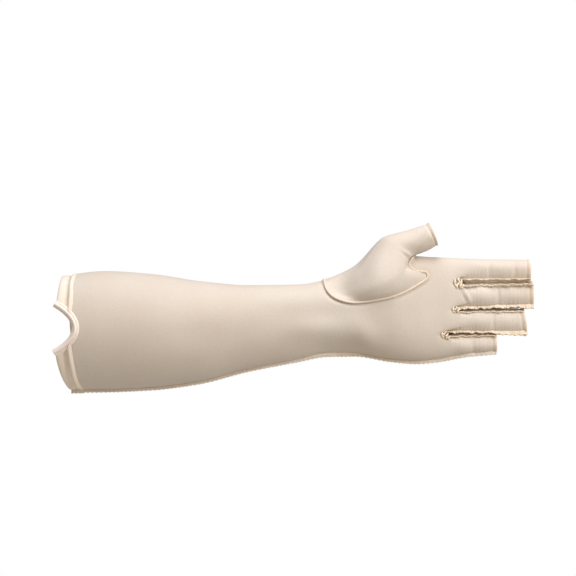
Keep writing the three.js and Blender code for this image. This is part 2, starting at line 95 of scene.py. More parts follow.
# Seam of the thumb gusset on the panel: place round it, station and height, then a point of the gusset's
# swell. Within a small share of its start the seam passes over the thumb side. Corners far beyond the panel
# close its outline.
GUSSET = np.array([
    (0.00, 211.2, 41.5, 236, 0, 52.8),
    (0.06, 212.6, 35, 238, -11, 49),
    (0.12, 219.5, 27.6, 242, -18.5, 42),
    (0.18, 235, 23.8, 250, -23.5, 38.5),
    (0.25, 260, 27.2, 263, -25, 42),
    (0.31, 283, 36.8, 271, -22.5, 46.5),
    (0.355, 292.7, 44.6, 274, -20.5, 49.5),
    (0.37, 291.4, 47.4, 274.4, -19.8, 50.3),
    (0.40, 284.5, 48.4, 275, -18.5, 52),
    (0.45, 278, 53.2, 276.5, -13.5, 56),
    (0.475, 280, 57.2, 279.2, -7.5, 59),
    (0.50, 284, 60.8, 283.2, -1, 62),
    (0.60, 266, 55, 268, 10.5, 61),
    (0.75, 242, 50.4, 250.5, 11.5, 60),
    (0.88, 224, 44.8, 240, 8, 55.5),
    (0.95, 214.5, 42, 237, 4, 53.6),
])
SEAM_OVER, SEAM_SAMPLES = 0.02, 801
SEAM_CORNERS = np.array([(300, 140), (190, 140)])

# Notch in the palm side of the elbow edge, a parabola: station of its apex, depth, height and half its width.
# The panel stops at a margin from its edge, under the binding. Its outline runs past both tips by a share,
# to a station far beyond the elbow edge.
NOTCH_APEX, NOTCH_DEPTH, NOTCH_HEIGHT, NOTCH_HALF = 15, 14.5, 3.9, 16.4
PANEL_MARGIN, NOTCH_PAST, NOTCH_SAMPLES, NOTCH_FAR = 2.2, 0.1, 121, -60

# Soft relief of the palm side: station, height, turn in degrees, half length, half width and rise.
# The rows are the stalls' bends, a crease at the middle stall, the sleeve's middle, the heel of the palm and
# the wrist. The gusset's seam, taken at every fourth of its samples, holds the cloth within a distance.
PANEL_RELIEF = np.array([
    (342, 50, 90, 9, 1.8, -0.6),
    (351, 50, 90, 9, 7, 0.9),
    (362, 50, 90, 9, 1.6, -0.8),
    (336.5, 29, 90, 10, 8, 2.0),
    (349, 29, 90, 9, 1.6, -1.0),
    (362, 29.5, 90, 8, 7, 0.8),
    (335, 9, 90, 8, 7, 1.3),
    (345, 9, 90, 8, 1.6, -0.8),
    (356, 9, 90, 8, 6, 0.7),
    (321, -11, 90, 8, 6, 1.2),
    (329, -11, 90, 8, 1.6, -0.7),
    (336, -10.5, 90, 7, 4, 0.8),
    (324.6, 28.4, -62, 6.5, 1.5, 0.9),
    (321.8, 27.2, -62, 5.5, 1.3, -0.45),
    (121, -3, 0, 34, 15, -1.3),
    (243, -3, 125, 15, 10, 2.6),
    (220, -17, 6, 22, 9, -4.2),
    (190, 27, 0, 28, 9, 1.6),
    (208, 3, 0, 22, 9, 2.2),
])
SEAM_HOLD, HOLD_EVERY = 3, 4

# Puckers beside the stalls' seams: wavelength, sway and its length, fade across the stall, and width of the
# still cloth at the seam; where they start and are full past the fork, and their height on each stall.
PUCKER_WAVE, PUCKER_SWAY, PUCKER_SWAY_LENGTH, PUCKER_FADE, PUCKER_STILL = 2.8, 1.4, 3.7, 5, 0.9
PUCKER_START, PUCKER_FULL, PUCKER_HEIGHTS = 4, 12, (0.09, 0.2, 0.2, 0.2)

# Half the way round a stall, by which the puckers fade, and the flat width of a strip, which places the knit.
STALL_ACROSS, STRIP_FLAT = 24, 30

# Rows of the panel's grid crowd towards the forks by a power.
HAND_ROWS, STALL_ROWS, STRIP_COLUMNS = 170, 120, 19
HAND_POWER, STALL_POWER = 1.3, 1.5
MERGE_METRES = 3e-6


def lerp(a, b, t):
    """Straight line from a to b at a share t."""
    return a + (b - a) * t


def smoothstep(x, start, stop):
    """Cubic step from 0 at the start to 1 at the stop, three times t squared less twice t cubed."""
    t = np.clip((x - start) / (stop - start), 0, 1)
    return t * t * (3 - 2 * t)


def curve_through(stations, values, at):
    """Monotone cubic through the values at the stations: each inner slope is the harmonic mean of the rises
    beside it, and nil where their signs differ, so the curve never passes the values on either side."""
    stations, values, at = (np.asarray(given, float) for given in (stations, values, at))
    rise = np.diff(values, axis=0) / np.diff(stations).reshape((-1,) + (1,) * (values.ndim - 1))
    product = rise[:-1] * rise[1:]
    mean = 2 * product / np.where(product > 0, rise[:-1] + rise[1:], 1)
    slope = np.concatenate([rise[:1], np.where(product > 0, mean, 0), rise[-1:]])
    i = np.clip(np.searchsorted(stations, at) - 1, 0, len(stations) - 2)
    shape = at.shape + (1,) * (values.ndim - 1)
    span = (stations[i + 1] - stations[i]).reshape(shape)
    t = np.clip((at - stations[i]).reshape(shape) / span, 0, 1)
    near = (1 + 2 * t) * (1 - t) ** 2 * values[i] + t * t * (3 - 2 * t) * values[i + 1]
    return near + span * t * (1 - t) * ((1 - t) * slope[i] - t * slope[i + 1])


def sleeve_section(x, inset=0.0):
    """Middle height, half width, depths to palm and back, and fullness of the sleeve, less an inset."""
    upper, lower, palm, back, full = np.moveaxis(curve_through(SLEEVE[:, 0], SLEEVE[:, 1:], x), -1, 0)
    return (upper + lower) / 2, (upper - lower) / 2 - inset, palm - inset, back - inset, full


def sleeve_depth(x, z, side, inset=0.0):
    """Depth of the cloth at a height: the superellipse d (1 - t^n)^(1/n), t the share of the half width."""
    middle, half, palm, back, full = sleeve_section(x, inset)
    t = np.clip(np.abs(z - middle) / half, 0, 1)
    return np.where(np.asarray(side) < 0, palm, back) * (1 - t**full) ** (1 / full)


def elbow_station(angle, side):
    """Station of the elbow edge round the sleeve: a mean, a tilt with the cosine, and a reach with the sine
    squared that grows on the palm towards the little-finger side."""
    reach = np.where(np.asarray(side) < 0, PALM_REACH - PALM_REACH_TILT * np.cos(angle), BACK_REACH)
    return ELBOW_MEAN - ELBOW_TILT * np.cos(angle) - reach * np.sin(angle) ** 2


def hem_spread(angle, side):
    """Width of the elbow hem's band as a share of its own: wider on the palm side, beside the notch."""
    return 1 + HEM_EXTRA * smoothstep(np.sin(angle), *HEM_WIDENS) * (np.asarray(side) < 0)


def strip_line(edge, x):
    """Height of the line between two strips: even round the sleeve, turning to the fork's own angle."""
    fork_x, fork_z, _ = FORKS[edge - 1]
    middle, half, *_ = sleeve_section(x)
    fork_middle, fork_half, *_ = sleeve_section(float(fork_x))
    fork_angle = np.arccos((fork_z - fork_middle) / fork_half)
    angle = lerp(edge * np.pi / 4, fork_angle, smoothstep(x, STRIPS_TURN_FROM, fork_x))
    return np.where(x >= fork_x, fork_z, middle + half * np.cos(angle))


def strip_angle(edge, x, inset):
    """Angle round the sleeve of the line between two strips, the arc cosine of its share of the half width.
    The first edge is the thumb side and the last is the little-finger side, half a turn away."""
    if edge in (0, 4):
        return np.full(np.shape(x), 0.0 if edge == 0 else np.pi)
    middle, half, *_ = sleeve_section(x, inset)
    return np.arccos(np.clip((strip_line(edge, x) - middle) / half, -1, 1))


def fork_station(edge):
    """Station of the fork at a strip's edge, or of the nearest fork where the edge is an outer one."""
    return FORKS[min(max(edge, 1), 3) - 1][0]


def stall_end(finger, phi):
    """Station of a stall's open end, on a straight line between its corners."""
    return lerp(*STALLS[finger]["end"], phi / np.pi)


def stall_side(finger, lower, x, inset):
    """Height of a stall's side, a straight line from fork to end, and how far from it the half circle is by
    which its seam leaves the fork."""
    near, far = STALLS[finger]["lower" if lower else "upper"]
    edge = finger + lower
    inward = inset if lower else -inset
    fork = fork_station(edge)
    along = np.clip((x - fork) / (STALLS[finger]["end"][lower] - fork), 0, 1)
    own = lerp(near, far, along) + inward
    if edge in (0, 4):
        return own, np.zeros_like(own)
    t = np.clip((x - fork + inset) / np.abs(near + inward - FORKS[edge - 1][1]), 0, 1)
    return own, (strip_line(edge, x) - own) * (1 - np.sqrt(1 - (1 - t) ** 2))


def panel_point(finger, side, x, phi, height=0.0):
    """Point of the panel in one strip, at a height off the cloth: the sleeve's section, which passes round
    the fork into the stall's ellipse. Phi goes across the strip; side is -1 for the palm, 1 for the back."""
    x, phi, inset = np.broadcast_arrays(x, phi, -np.asarray(height, float))
    share = phi / np.pi
    middle, half, *_ = sleeve_section(x, inset)
    angle = lerp(strip_angle(finger, x, inset), strip_angle(finger + 1, x, inset), share)
    sleeve_z = middle + half * np.cos(angle)
    sleeve_y = side * sleeve_depth(x, sleeve_z, side, inset)

    fork = lerp(fork_station(finger), fork_station(finger + 1), share) - inset
    (upper, upper_round), (lower, lower_round) = (stall_side(finger, edge, x, inset) for edge in (0, 1))
    along = np.clip((x - fork) / (stall_end(finger, phi) - fork), 0, 1)
    depth = lerp(FORK_DEPTH, STALLS[finger]["depth"], along) - inset
    upper_lean = OUTER_LEAN if finger == 0 else FORKS[finger - 1][2]
    lower_lean = OUTER_LEAN if finger == 3 else FORKS[finger][2]
    turn = lerp(-side * upper_lean, np.pi + side * lower_lean, share)
    upper_full = 1.0 if finger == 0 else np.cos(upper_lean)
    lower_full = 1.0 if finger == 3 else np.cos(lower_lean)
    full = np.where(turn < np.pi / 2, upper_full, lower_full)
    bulge = lerp(1, 1 / full, smoothstep(x, fork, fork + FORK_EASE))
    stall_z = (upper + lower) / 2 + (upper - lower) / 2 * np.clip(np.cos(turn) / full, -bulge, bulge)
    stall_z += upper_round * (1 - share) ** ROUND_POWER + lower_round * share**ROUND_POWER
    stall_y = side * depth * np.sin(turn) - CURL_SHIFT

    outer = (share < 0.5) if finger == 0 else (share > 0.5) & (finger == 3)
    swell = np.where(outer, 1.0, np.sin(phi))
    t = np.clip((x - fork + FORK_EASE) / (STALL_EASE * swell + FORK_EASE), 0, 1)
    blend = lerp(1 - np.sqrt(1 - t * t), t * t * (3 - 2 * t), swell)
    curl = -CURL_DROP * np.clip((x - CURL_FROM) / CURL_REACH, 0, 2) ** 2
    return np.stack([x, curl + lerp(sleeve_y, stall_y, blend), lerp(sleeve_z, stall_z, blend)], -1)


def swayed_sine(at, length, sway, sway_length, phase=0, sway_phase=0):
    """Sine along a distance, its phase swayed by a slower sine."""
    return np.sin(2 * np.pi * at / length + sway * np.sin(at / sway_length + sway_phase) + phase)


def seam_pucker(finger, x, phi, fork):
    """Height of the puckers beside a stall's seams: a swayed sine along the stall, which dies away across it,
    starts past the fork, and is nil at the seam itself."""
    beside = np.minimum(phi, np.pi - phi) / np.pi * STALL_ACROSS
    wave = swayed_sine(x, PUCKER_WAVE, PUCKER_SWAY, PUCKER_SWAY_LENGTH, finger)
    wave = wave * np.exp(-beside / PUCKER_FADE)
    start = smoothstep(x, fork + PUCKER_START, fork + PUCKER_FULL)
    return wave * (PUCKER_HEIGHTS[finger] * (1 - np.exp(-beside / PUCKER_STILL)) * start)


def round_ribs(column, v):
    """Values of the gusset's ribs at a place round it, closed on itself."""
    places = np.concatenate([GUSSET[:, 0] - 1, GUSSET[:, 0], GUSSET[:, 0] + 1])
    return curve_through(places, np.tile(GUSSET[:, column], (3, 1)), v)


def gusset_seam(v):
    """Point of the gusset's seam, on the panel's surface: palm side up to half way round, then the back,
    passing over the thumb side at its start."""
    side = np.where(v <= 0.5, -1, 1)
    x, z = np.moveaxis(round_ribs([1, 2], v), -1, 0)
    over = np.clip(((v > 0.5) - v) / SEAM_OVER, -1, 1)
    return np.stack([x, over * sleeve_depth(x, z, side), z], -1)


def notch_point(share, margin):
    """Station and height of the notch's edge, a parabola, drawn out by a margin square to it."""
    z = lerp(1, -1, share) * NOTCH_HALF
    slope = 2 * NOTCH_DEPTH * z / NOTCH_HALF**2
    length = np.hypot(1, slope)
    x = NOTCH_APEX - NOTCH_DEPTH * (z / NOTCH_HALF) ** 2
    return x + margin / length, NOTCH_HEIGHT + z + margin * slope / length


def notch_outline(margin):
    """Edge of the notch at a margin, run on past both tips, and the far corners that close its outline."""
    edge = np.stack(notch_point(np.linspace(-NOTCH_PAST, 1 + NOTCH_PAST, NOTCH_SAMPLES), margin), -1)
    return edge, np.array([(NOTCH_FAR, edge[-1, 1]), (NOTCH_FAR, edge[0, 1])])


def trim(points, side, edge, corners):
    """Points inside an outline, given as its edge and far corners, are drawn on to the edge along the cloth.
    A point is inside where an odd number of the outline's lines pass beyond it."""
    x, z = points[..., 0, None], points[..., 2, None]
    ax, az = np.concatenate([edge, corners]).T
    bx, bz = np.roll(ax, -1), np.roll(az, -1)
    crossing = ax + (z - az) * (bx - ax) / np.where(bz == az, 1, bz - az)
    cut = (((az > z) != (bz > z)) & (x < crossing)).sum(-1) % 2 == 1
    nearest = ((points[cut][:, None, ::2] - edge) ** 2).sum(-1).argmin(1)
    x, z = edge[nearest].T
    points[cut] = np.stack([x, side * sleeve_depth(x, z, side), z], -1)
    return cut


def grid_quads(rows, columns, closed=False):
    """Corners of a grid's quads, by row and column; a closed grid joins its last column to its first."""
    row = np.arange(rows - 1)[:, None] * columns
    near = np.arange(columns if closed else columns - 1)[None, :]
    far = (near + 1) % columns
    return np.stack([row + near, row + far, row + columns + far, row + columns + near], -1).reshape(-1, 4)


def flat_map(across, along):
    """UV of a grid, in millimetres across and along the cloth."""
    return np.stack(np.broadcast_arrays(across, along), -1)


def cloth_piece(name, points, quads, uv, lip=None):
    """Object from points in millimetres, quads and a UV in millimetres; doubles are merged and faces turned
    out. Lip is each point's share of the lip's colour."""
    used, corners = np.unique(quads, return_inverse=True)
    corners = corners.reshape(-1, 4)
    mesh = bpy.data.meshes.new(name)
    mesh.from_pydata(points.reshape(-1, 3)[used] / 1000, [], corners)
    layer = mesh.uv_layers.new(name="cloth")
    layer.uv.foreach_set("vector", uv.reshape(-1, 2)[used][corners.ravel()].astype(np.float32).ravel())
    if lip is not None:
        share = mesh.attributes.new("lip", "FLOAT", "POINT")
        share.data.foreach_set("value", lip.ravel()[used].astype(np.float32))
    work = bmesh.new()
    work.from_mesh(mesh)
    bmesh.ops.remove_doubles(work, verts=work.verts, dist=MERGE_METRES)
    bmesh.ops.recalc_face_normals(work, faces=work.faces)
    work.to_mesh(mesh)
    work.free()
    mesh.shade_smooth()
    piece = bpy.data.objects.new(name, mesh)
    bpy.context.scene.collection.objects.link(piece)
    return piece


def vertices_of(piece):
    """Places, in millimetres, and normals of a piece's vertices."""
    at = np.empty(3 * len(piece.data.vertices), np.float32)
    normal = np.empty_like(at)
    piece.data.vertices.foreach_get("co", at)
    piece.data.vertex_normals.foreach_get("vector", normal)
    return at.reshape(-1, 3) * 1000, normal.reshape(-1, 3)


def move_vertices(piece, at):
    """Puts a piece's vertices at places in millimetres."""
    piece.data.vertices.foreach_set("co", (at / 1000).astype(np.float32).ravel())
    piece.data.update()


def square_to_line(at, line, parts=40):
    """Square of each point's distance to the nearest point of a line, by station and height. The points are
    taken in parts to save memory."""
    parted = np.array_split(at, parts)
    return np.concatenate([((part[:, None, ::2] - line) ** 2).sum(-1).min(1) for part in parted])


def raise_relief(piece, relief, line, hold):
    """Moves each vertex along its normal, where that turns to the palm, by a sum of folds, each a rise times
    exp(-(a/length)^2 - (b/width)^2). A sewn line holds the cloth, by a share 1 - exp(-(d/hold)^2)."""
    at, normal = vertices_of(piece)
    x, z, turn, length, width, rise = relief.T[:, :, None]
    dx, dz = at[:, 0] - x, at[:, 2] - z
    cos, sin = np.cos(np.radians(turn)), np.sin(np.radians(turn))
    folds = rise * np.exp(-(((dx * cos + dz * sin) / length) ** 2) - ((dz * cos - dx * sin) / width) ** 2)
    share = np.clip(-normal[:, 1], 0, 1) * (1 - np.exp(-square_to_line(at, line) / hold**2))
    at += normal * (share * folds.sum(0))[:, None]
    move_vertices(piece, at)


def thicken(piece, thickness):
    """Gives a sheet its thickness, inwards from the surface that shows."""
    wall = piece.modifiers.new("cloth", "SOLIDIFY")
    wall.thickness = thickness / 1000
    wall.offset = -1


def linear(colour):
    """Linear colour of an sRGB hex value: a straight line for dark parts and a power of 2.4 above them."""
    part = np.array([int(colour[i:i + 2], 16) for i in (1, 3, 5)]) / 255
    return (*np.where(part <= 0.04045, part / 12.92, ((part + 0.055) / 1.055) ** 2.4), 1.0)


def add(tree, kind, inputs=None, **settings):
    """Adds a node: settings are its properties, inputs its sockets' values or the sockets linked to them."""
    made = tree.nodes.new(kind)
    for key, value in settings.items():
        setattr(made, key, value)
    for key, value in (inputs or {}).items():
        if isinstance(value, bpy.types.NodeSocket):
            tree.links.new(value, made.inputs[key])
        else:
            made.inputs[key].default_value = value
    return made


# Loops of the knit, about 0.6 mm wide, are drawn at this width and length in millimetres so that they show.
# Patches of tone are about 45 mm wide and tufts of fibre about 0.7 mm, given as their number in a metre.
WALE, COURSE, LOOP_METRES = 1.3, 1.1, 0.0004
PATCHES, TUFTS = 22.0, 1400.0


def knit(name, light, deep, edge=None, bump=0.06):
    """Nylon and elastane warp knit: a matt, close surface of fine loops with a soft bloom at a low angle.
    Its tone wanders between two colours, its fibres speckle it, and an edge's colour follows the lip."""
    material = bpy.data.materials.new(name)
    material.use_nodes = True
    tree = material.node_tree
    tree.nodes.clear()
    place = add(tree, "ShaderNodeTexCoord").outputs
    across = add(tree, "ShaderNodeSeparateXYZ", {0: place["UV"]})
    wale = add(tree, "ShaderNodeMath", {0: across.outputs["X"], 1: 2 * np.pi / WALE}, operation="MULTIPLY")
    wale = add(tree, "ShaderNodeMath", {0: wale.outputs[0]}, operation="SINE")
    course = add(tree, "ShaderNodeMath", {0: across.outputs["Y"], 1: 2 * np.pi / COURSE},
                 operation="MULTIPLY")
    course = add(tree, "ShaderNodeMath", {0: course.outputs[0], 1: wale.outputs[0]}, operation="ADD")
    course = add(tree, "ShaderNodeMath", {0: course.outputs[0]}, operation="SINE")
    loops = add(tree, "ShaderNodeMath", {0: wale.outputs[0], 1: course.outputs[0]}, operation="ADD")
    tone = add(tree, "ShaderNodeTexNoise", {"Vector": place["Object"], "Scale": PATCHES, "Detail": 3.0})
    tone = add(tree, "ShaderNodeMapRange", {0: tone.outputs[0], 1: 0.3, 2: 0.7})
    colour = add(tree, "ShaderNodeMix", {0: tone.outputs[0], 6: linear(light), 7: linear(deep)},
                 data_type="RGBA").outputs[2]
    fibre = add(tree, "ShaderNodeTexNoise", {"Vector": place["Object"], "Scale": TUFTS, "Detail": 2.0})
    fibre = add(tree, "ShaderNodeMapRange", {0: fibre.outputs[0], 1: 0.35, 2: 0.65, 3: 0.94, 4: 1.04})
    colour = add(tree, "ShaderNodeMix", {0: 1.0, 6: colour, 7: fibre.outputs[0]},
                 data_type="RGBA", blend_type="MULTIPLY").outputs[2]
    if edge:
        lip = add(tree, "ShaderNodeAttribute", attribute_name="lip")
        colour = add(tree, "ShaderNodeMix", {0: lip.outputs["Fac"], 6: colour, 7: linear(edge)},
                     data_type="RGBA").outputs[2]
    raised = add(tree, "ShaderNodeBump",
                 {"Strength": bump, "Distance": LOOP_METRES, "Height": loops.outputs[0]})
    shader = add(tree, "ShaderNodeBsdfPrincipled", {
        "Base Color": colour, "Roughness": 0.68, "Specular IOR Level": 0.3, "Sheen Weight": 0.36,
        "Sheen Roughness": 0.5, "Sheen Tint": linear("#ffffff"), "Normal": raised.outputs[0],
    })
    add(tree, "ShaderNodeOutputMaterial", {0: shader.outputs[0]})
    return material


seam_places = np.linspace(0, 1, SEAM_SAMPLES)
palm_seam = gusset_seam(seam_places[seam_places <= 0.5])[:, ::2]
back_seam = gusset_seam(seam_places[seam_places >= 0.5])[:, ::2]

sheets, faces, maps, count = [], [], [], 0
phi = np.linspace(0, np.pi, STRIP_COLUMNS)[None, :]
row = np.arange(HAND_ROWS + STALL_ROWS + 1)[:, None]
hand = 1 - (1 - np.clip(row / HAND_ROWS, 0, 1)) ** HAND_POWER
stall = np.clip((row - HAND_ROWS) / STALL_ROWS, 0, 1) ** STALL_POWER
for finger in range(4):
    for side in (-1, 1):
        angle = (finger + phi / np.pi) * np.pi / 4
        elbow = elbow_station(angle, side) + PANEL_START * hem_spread(angle, side)
        fork = lerp(fork_station(finger), fork_station(finger + 1), phi / np.pi)
        end = stall_end(finger, phi) - UNDER_HEM
        x = np.where(stall > 0, lerp(fork, end, stall), lerp(elbow, fork, hand))
        points = panel_point(finger, side, x, phi, seam_pucker(finger, x, phi, fork) * (side < 0))
        if side < 0:
            cut = trim(points, side, palm_seam, SEAM_CORNERS)
            cut |= trim(points, side, *notch_outline(PANEL_MARGIN))
        else:
            cut = trim(points, side, back_seam, SEAM_CORNERS[::-1])
        quads = grid_quads(*cut.shape)
        faces.append(quads[~cut.ravel()[quads].all(1)] + count)
        sheets.append(points.reshape(-1, 3))
        maps.append(flat_map((finger + phi / np.pi) * STRIP_FLAT, x).reshape(-1, 2))
        count += cut.size

# Webs: behind each fork the back's cloth is drawn through between two stalls. Each goes from one strip's
# side to the next, from behind the fork to ahead of it, at a depth in the cloth.
WEB_ROWS, WEB_COLUMNS, WEB_FLAT = 24, 13, 8
WEB_SIDES, WEB_BEHIND, WEB_AHEAD, WEB_DEPTH = (0.86, 0.14), 1, 13, 1.2
across = np.linspace(0, 1, WEB_COLUMNS)[:, None]
for finger, (fork, *_) in enumerate(FORKS):
    x = np.linspace(fork - WEB_BEHIND, fork + WEB_AHEAD, WEB_ROWS)[:, None]
    sides = [
        panel_point(finger + lower, 1, x, share * np.pi, -WEB_DEPTH) for lower, share in enumerate(WEB_SIDES)
    ]
    faces.append(grid_quads(WEB_ROWS, WEB_COLUMNS) + count)
    sheets.append(lerp(*sides, across).reshape(-1, 3))
    maps.append(flat_map(WEB_FLAT * across[:, 0], x).reshape(-1, 2))
    count += WEB_ROWS * WEB_COLUMNS

panel = cloth_piece("main_panel_cloth", np.concatenate(sheets), np.concatenate(faces), np.concatenate(maps))
raise_relief(panel, PANEL_RELIEF, palm_seam[::HOLD_EVERY], SEAM_HOLD)
thicken(panel, CLOTH)
beige_knit = knit("nylon_elastane_knit", "#d0c6bb", "#ccbfb2")
panel.data.materials.append(beige_knit)
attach(panel, "root")
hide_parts("main_panel")


# Thumb gusset: a shaped panel of the same knit, set into the palm and the back by a curved seam.
# It swells out from the palm and narrows into an open stall, with creases pulled from the web.

# Rings of the stall: its upper and its web side, each a station and a height, then its middle and its depth.
# The knots are the shares of the gusset's length at its seam, its swell and these rings.
THUMB = [
    dict(upper=(259, 76), web=(283.6, 61.4), y=-5.5, depth=13.4),
    dict(upper=(277.6, 81.2), web=(293.6, 65), y=-7, depth=10.6),
    dict(upper=(294.8, 86.7), web=(301.4, 69.6), y=-8, depth=9.2),
]
THUMB_KNOTS = [0, 0.28, 0.55, 0.8, 1]

# Soft relief, as the panel's: creases at the web and at the stall, the hollow at the wrist and the swell.
GUSSET_RELIEF = np.array([
    (279.2, 60.4, -34, 6.5, 1.3, 1.1),
    (278.2, 58.2, -36, 5, 0.9, -1.6),
    (286, 71.5, 66, 9, 2.4, -0.5),
    (290.5, 73.5, 66, 8, 2, 0.4),
    (224, 36.5, 98, 20, 10.5, -4.2),
    (250, 46, 98, 24, 18, 5.4),
])

# The cloth stops at a share of its length, under the thumb's hem. Its flat size places the knit.
GUSSET_ROWS, GUSSET_COLUMNS, GUSSET_STOP = 110, 261, 0.947
GUSSET_ROUND, GUSSET_LONG = 130, 115


def thumb_ring(ring, v):
    """Ring of the thumb stall: an ellipse from its upper side to the web side, with a depth either way."""
    share = (1 + np.cos(2 * np.pi * v)) / 2
    x, z = (lerp(ring["web"][axis], ring["upper"][axis], share) for axis in (0, 1))
    return np.stack([x, ring["y"] - ring["depth"] * np.sin(2 * np.pi * v), z], -1)


def gusset_skin(u, v):
    """Point of the gusset: u goes from the seam over the swell and along the stall, v round it."""
    rings = np.stack([gusset_seam(v), round_ribs([3, 4, 5], v), *(thumb_ring(ring, v) for ring in THUMB)])
    return curve_through(THUMB_KNOTS, rings, u)


u, v = np.linspace(0, GUSSET_STOP, GUSSET_ROWS), np.linspace(0, 1, GUSSET_COLUMNS)
gusset = cloth_piece(
    "thumb_gusset_cloth", gusset_skin(u, v), grid_quads(GUSSET_ROWS, GUSSET_COLUMNS),
    flat_map(GUSSET_ROUND * v, GUSSET_LONG * u[:, None]),
)
raise_relief(gusset, GUSSET_RELIEF, palm_seam[::HOLD_EVERY], SEAM_HOLD)
thicken(gusset, CLOTH)
gusset.data.materials.append(beige_knit)
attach(gusset, "root")
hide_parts("thumb_gusset")


# Gusset seam: the two cloths' edges sewn together inside, which push up one narrow roll of cloth outside.
# The roll leans over the main panel, so a thin shadow follows its outer side, and is flatter along the palm.

# The roll's shift, half width, base and height; how much lower it is along the palm, and where; its ripples.
ROLL_SHIFT, ROLL_HALF_WIDTH, ROLL_BASE, ROLL_HEIGHT = 0.1, 0.8, 0.5, 0.85
ROLL_PRESSED, PRESSED_FROM, PRESSED_TO = 0.35, (0.2, 0.26), (0.32, 0.35)
RIPPLES, RIPPLE_SHARE, RIPPLE_SWAY, RIPPLE_SWAYS = 96, 0.1, 2, 40

# The groove that it presses into the panel lies beside it.
GROOVE_BESIDE, GROOVE_REACH, GROOVE_DEPTH = 1.5, 1.2, 0.9
SEAM_STEPS, ROLL_SIDES, ROLL_ROUND, SEAM_LENGTH = 640, 14, 5, 210


def seam_frame(v, near=0.6, beside=0.004):
    """Directions off the panel at the gusset's seam, square to the slopes of its depth, and along the panel
    away from the gusset, square to the seam."""
    x, _, z = np.moveaxis(gusset_seam(v), -1, 0)
    side = np.where(v <= 0.5, -1, 1)
    slope_x = sleeve_depth(x - near, z, side) - sleeve_depth(x + near, z, side)
    slope_z = sleeve_depth(x, z - near, side) - sleeve_depth(x, z + near, side)
    off = np.stack([slope_x, side * 2 * near, slope_z], -1)
    off /= np.linalg.norm(off, axis=-1, keepdims=True)
    along = gusset_seam((v + beside) % 1) - gusset_seam((v - beside) % 1)
    away = np.cross(along, off)
    return off, away / np.linalg.norm(away, axis=-1, keepdims=True)


def roll_point(v, turn):
    """Point of the roll: an ellipse about the seam, its width rippled by a swayed sine along the seam."""
    off, away = (direction[:, None] for direction in seam_frame(v))
    pressed = smoothstep(v, *PRESSED_FROM) * smoothstep(-v, -PRESSED_TO[1], -PRESSED_TO[0])
    tall = (ROLL_HEIGHT - ROLL_PRESSED * pressed)[:, None, None]
    sway = RIPPLE_SWAY * np.sin(RIPPLE_SWAYS * v)
    ripple = (1 + RIPPLE_SHARE * np.sin(2 * np.pi * v * RIPPLES + sway))[:, None, None]
    across = ROLL_SHIFT + ROLL_HALF_WIDTH * np.cos(turn)[:, None] * ripple
    return gusset_seam(v)[:, None] + away * across + off * (ROLL_BASE + tall * np.sin(turn)[:, None])


def press_groove(piece, line, reach, depth):
    """Presses the palm side in along a line of stations and heights, by depth exp(-(d/reach)^2) at a distance
    d, up to three times the reach."""
    at, normal = vertices_of(piece)
    low, high = line.min(0) - 3 * reach, line.max(0) + 3 * reach
    near = (normal[:, 1] < 0) & np.all((at[:, ::2] > low) & (at[:, ::2] < high), axis=1)
    square = square_to_line(at[near], line)
    at[near] -= normal[near] * (depth * np.exp(-square / reach**2))[:, None]
    move_vertices(piece, at)


v = np.linspace(0, 1, SEAM_STEPS, endpoint=False)
roll = roll_point(v, np.linspace(0, 2 * np.pi, ROLL_SIDES, endpoint=False)).transpose(1, 0, 2)
groove = gusset_seam(v) + GROOVE_BESIDE * seam_frame(v)[1]
press_groove(panel, groove[v < 0.5][:, ::2], GROOVE_REACH, GROOVE_DEPTH)
seam_roll = cloth_piece(
    "gusset_seam_roll", roll[:, np.r_[0:SEAM_STEPS, 0]][np.r_[0:ROLL_SIDES, 0]],
    grid_quads(ROLL_SIDES + 1, SEAM_STEPS + 1),
    flat_map(
        np.linspace(0, ROLL_ROUND, ROLL_SIDES + 1)[:, None], np.linspace(0, SEAM_LENGTH, SEAM_STEPS + 1),
    ),
)
# The knit's folded edge, with its loops opened by the fold: warmer than the panel, and painted paler than it
# as a painted highlight for the light that the raised roll catches.
seam_roll.data.materials.append(knit("rolled_knit_edge", "#e2d4c4", "#d8c6b1", bump=0.15))
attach(seam_roll, "root")
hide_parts("gusset_seam")


# Elbow hem: the sleeve's edge turned in and sewn, a flat band with a rolled rim.
# The sewing pulls a groove and pushes up a round ridge beside it, all round the mouth but for the notch.

# Profile of the band: distance from the edge and height off the cloth, over the outside and back inside.
HEM_PROFILE = np.array([
    (12.4, -0.7), (11.6, 0.0), (10.8, 0.7), (10.0, 1.5), (9.2, 1.7), (8.5, 0.9), (7.8, -0.4), (7.0, -1.0),
    (5.8, -0.75), (4.4, 0.0), (2.8, 0.55), (1.4, 0.7), (0.5, 0.45), (0, -0.2), (0.2, -0.9), (1.0, -1.5),
    (4, -1.6), (8, -1.5), (12, -1.4), (12.4, -0.7),
])
HEM_ROWS, HEM_COLUMNS, HEM_RADIUS = 64, 361, 44

# The band stops at a margin from the notch, within an angle of the palm's middle. At the thumb and the
# little-finger side the fold and the seam hold its ridge down to a share of its height.
HEM_MARGIN, NOTCH_ANGLE = 4.0, 1.0
SIDE_HEIGHT, SIDE_REACH = 0.2, 0.5


def sleeve_point(x, angle, height):
    """Point of the sleeve at an angle from the thumb side over the palm and then the back, off the cloth."""
    side = np.where(angle <= np.pi, -1, 1)
    middle, half, *_ = sleeve_section(x, -height)
    z = middle + half * np.cos(angle)
    return np.stack([x, side * sleeve_depth(x, z, side, -height), z], -1)


def smooth_profile(profile, rows):
    """Profile's two columns at an even spacing of its points, each as a column of rows."""
    return curve_through(np.linspace(0, 1, len(profile)), profile, np.linspace(0, 1, rows)).T[:, :, None]


